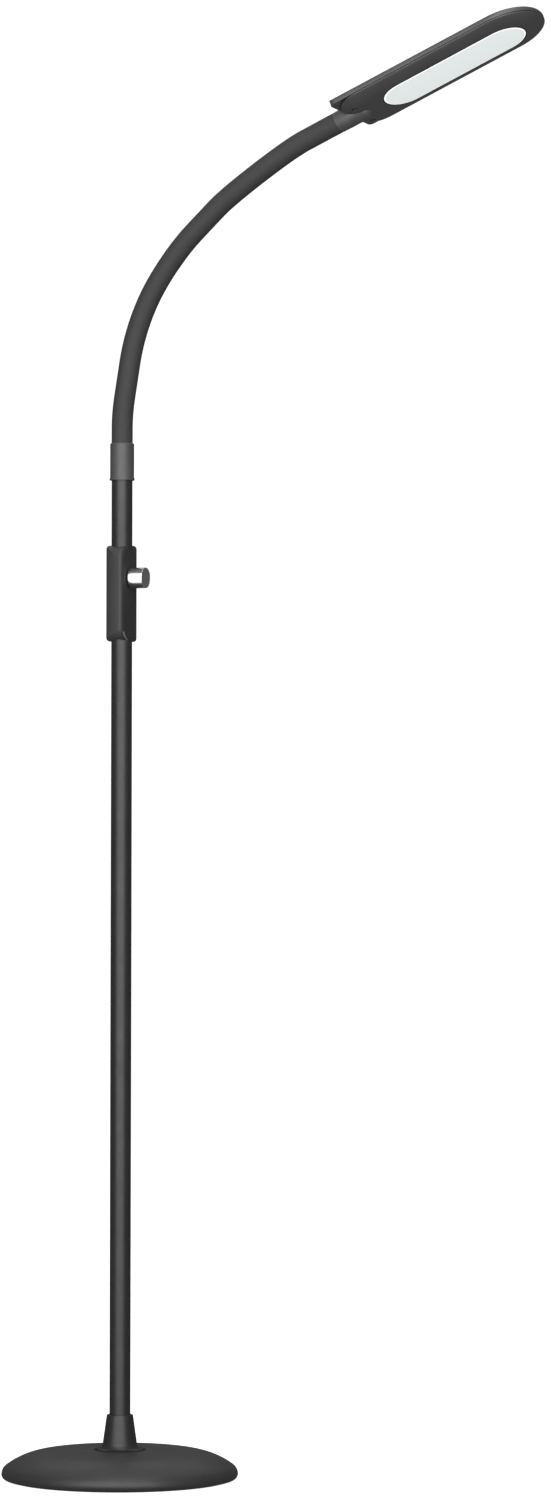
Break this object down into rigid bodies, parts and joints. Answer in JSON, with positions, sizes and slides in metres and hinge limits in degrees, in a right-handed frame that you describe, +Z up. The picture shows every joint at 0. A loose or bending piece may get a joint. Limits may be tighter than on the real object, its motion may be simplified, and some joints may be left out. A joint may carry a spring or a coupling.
{
  "type": "floor_lamp",
  "caption": "Floor lamp with a domed round base, a slim pole, a dimmer knob on a flat switch body, a flexible gooseneck and a flat rounded light head",
  "frame": {"origin": "centre of the pad's underside, on the floor under the pole's axis", "axes": "+Z up along the pole, +X towards the light head and the knob, +Y to the left of +X"},
  "size_m": [0.5495, 0.228, 1.3938],
  "materials": {
    "charcoal_paint": "satin",
    "ferrule_paint": "satin",
    "charcoal_plastic": "satin",
    "black_plastic": "satin",
    "sleeve_rubber": "matte",
    "pad_rubber": "matte",
    "lead_rubber": "matte",
    "iron": "rough",
    "plate_steel": "satin",
    "screw_steel": "satin",
    "cap_steel": "brushed",
    "knob_chrome": "polished",
    "opal": "satin",
    "white_plastic": "matte",
    "board_aluminium": "satin",
    "chip_plastic": "gloss",
    "circuit_green": "satin"
  },
  "bodies": {
    "stand": {"base_pad": "pad_rubber", "base_plate": "plate_steel", "base_weight": "iron", "base_shell": "charcoal_paint", "base_screws": "screw_steel", "base_socket": "charcoal_paint", "cable_gland": "black_plastic", "pole_stud": "screw_steel", "stud_nut": "screw_steel", "pole_plug": "screw_steel", "lower_lead": "lead_rubber", "pole_lower": "charcoal_paint", "pole_upper": "charcoal_paint", "upper_lead": "lead_rubber", "switch_body": "charcoal_plastic", "switch_panel": "black_plastic", "panel_screws": "screw_steel", "dimmer_board": "circuit_green", "board_screws": "screw_steel", "dimmer_case": "screw_steel", "dimmer_nut": "screw_steel", "neck_ferrule": "ferrule_paint", "neck_sleeve_0": "sleeve_rubber", "neck_core_0": "screw_steel"},
    "dimmer": {"dimmer_shaft": "screw_steel", "knob": "knob_chrome", "knob_cap": "cap_steel"},
    "neck_1": {"neck_sleeve_1": "sleeve_rubber", "neck_core_1": "screw_steel"},
    "neck_2": {"neck_sleeve_2": "sleeve_rubber", "neck_core_2": "screw_steel"},
    "neck_3": {"neck_sleeve_3": "sleeve_rubber", "neck_core_3": "screw_steel"},
    "neck_4": {"neck_sleeve_4": "sleeve_rubber", "neck_core_4": "screw_steel"},
    "neck_5": {"neck_sleeve_5": "sleeve_rubber", "neck_core_5": "screw_steel"},
    "neck_6": {"neck_sleeve_6": "sleeve_rubber", "neck_core_6": "screw_steel"},
    "neck_7": {"neck_sleeve_7": "sleeve_rubber", "neck_core_7": "screw_steel"},
    "neck_8": {"neck_sleeve_8": "sleeve_rubber", "neck_core_8": "screw_steel"},
    "neck_9": {"neck_sleeve_9": "sleeve_rubber", "neck_core_9": "screw_steel"},
    "head": {"neck_nut": "screw_steel", "head_casing": "charcoal_plastic", "head_cover": "charcoal_plastic", "diffuser": "opal", "reflector": "white_plastic", "led_board": "board_aluminium", "led_chips": "chip_plastic", "heat_plate": "board_aluminium", "head_screws": "screw_steel", "head_lead": "lead_rubber", "neck_sleeve_10": "sleeve_rubber", "neck_core_10": "screw_steel"}
  },
  "joints": [
    {"name": "dimmer_turn", "type": "hinge", "parent": "stand", "child": "dimmer", "pos_m": [0, 0, 0.86881], "axis": [1, 0, 0], "range_deg": [-150, 150]},
    {"name": "neck_bend", "type": "hinge", "parent": "stand", "child": "neck_1", "pos_m": [0, 0, 1.02861], "axis": [0, 1, 0], "range_deg": [-9.46, 9.46]},
    {"name": "neck_sway", "type": "hinge", "parent": "neck_1", "child": "neck_2", "pos_m": [0.00541, 0, 1.06106], "axis": [0.9864, 0, -0.1644], "range_deg": [-15, 15]},
    {"name": "neck_bend_3", "type": "hinge", "parent": "neck_2", "child": "neck_3", "pos_m": [0.01082, 0, 1.09352], "axis": [0, 1, 0], "range_deg": [-9.46, 9.46]},
    {"name": "neck_bend_4", "type": "hinge", "parent": "neck_3", "child": "neck_4", "pos_m": [0.02178, 0, 1.12549], "axis": [0, 1, 0], "range_deg": [-9.46, 9.46]},
    {"name": "neck_bend_5", "type": "hinge", "parent": "neck_4", "child": "neck_5", "pos_m": [0.03785, 0, 1.15522], "axis": [0, 1, 0], "range_deg": [-9.46, 9.46]},
    {"name": "neck_bend_6", "type": "hinge", "parent": "neck_5", "child": "neck_6", "pos_m": [0.06393, 0, 1.18878], "axis": [0, 1, 0], "range_deg": [-9.46, 9.46]},
    {"name": "neck_sway_7", "type": "hinge", "parent": "neck_6", "child": "neck_7", "pos_m": [0.08753, 0, 1.21054], "axis": [0.678, 0, -0.7351], "range_deg": [-15, 15]},
    {"name": "neck_bend_8", "type": "hinge", "parent": "neck_7", "child": "neck_8", "pos_m": [0.11112, 0, 1.23231], "axis": [0, 1, 0], "range_deg": [-9.46, 9.46]},
    {"name": "neck_bend_9", "type": "hinge", "parent": "neck_8", "child": "neck_9", "pos_m": [0.17805, 0, 1.27614], "axis": [0, 1, 0], "range_deg": [-9.46, 9.46]},
    {"name": "neck_sway_10", "type": "hinge", "parent": "neck_9", "child": "head", "pos_m": [0.20889, 0, 1.28972], "axis": [0.4029, 0, -0.9152], "range_deg": [-15, 15]}
  ],
  "couplings": [
    {"joint": "neck_bend_3", "follows": "neck_bend", "ratio": 1},
    {"joint": "neck_bend_4", "follows": "neck_bend", "ratio": 1},
    {"joint": "neck_bend_5", "follows": "neck_bend", "ratio": 1},
    {"joint": "neck_bend_6", "follows": "neck_bend", "ratio": 1},
    {"joint": "neck_sway_7", "follows": "neck_sway", "ratio": 1},
    {"joint": "neck_bend_8", "follows": "neck_bend", "ratio": 1},
    {"joint": "neck_bend_9", "follows": "neck_bend", "ratio": 1},
    {"joint": "neck_sway_10", "follows": "neck_sway", "ratio": 1}
  ]
}
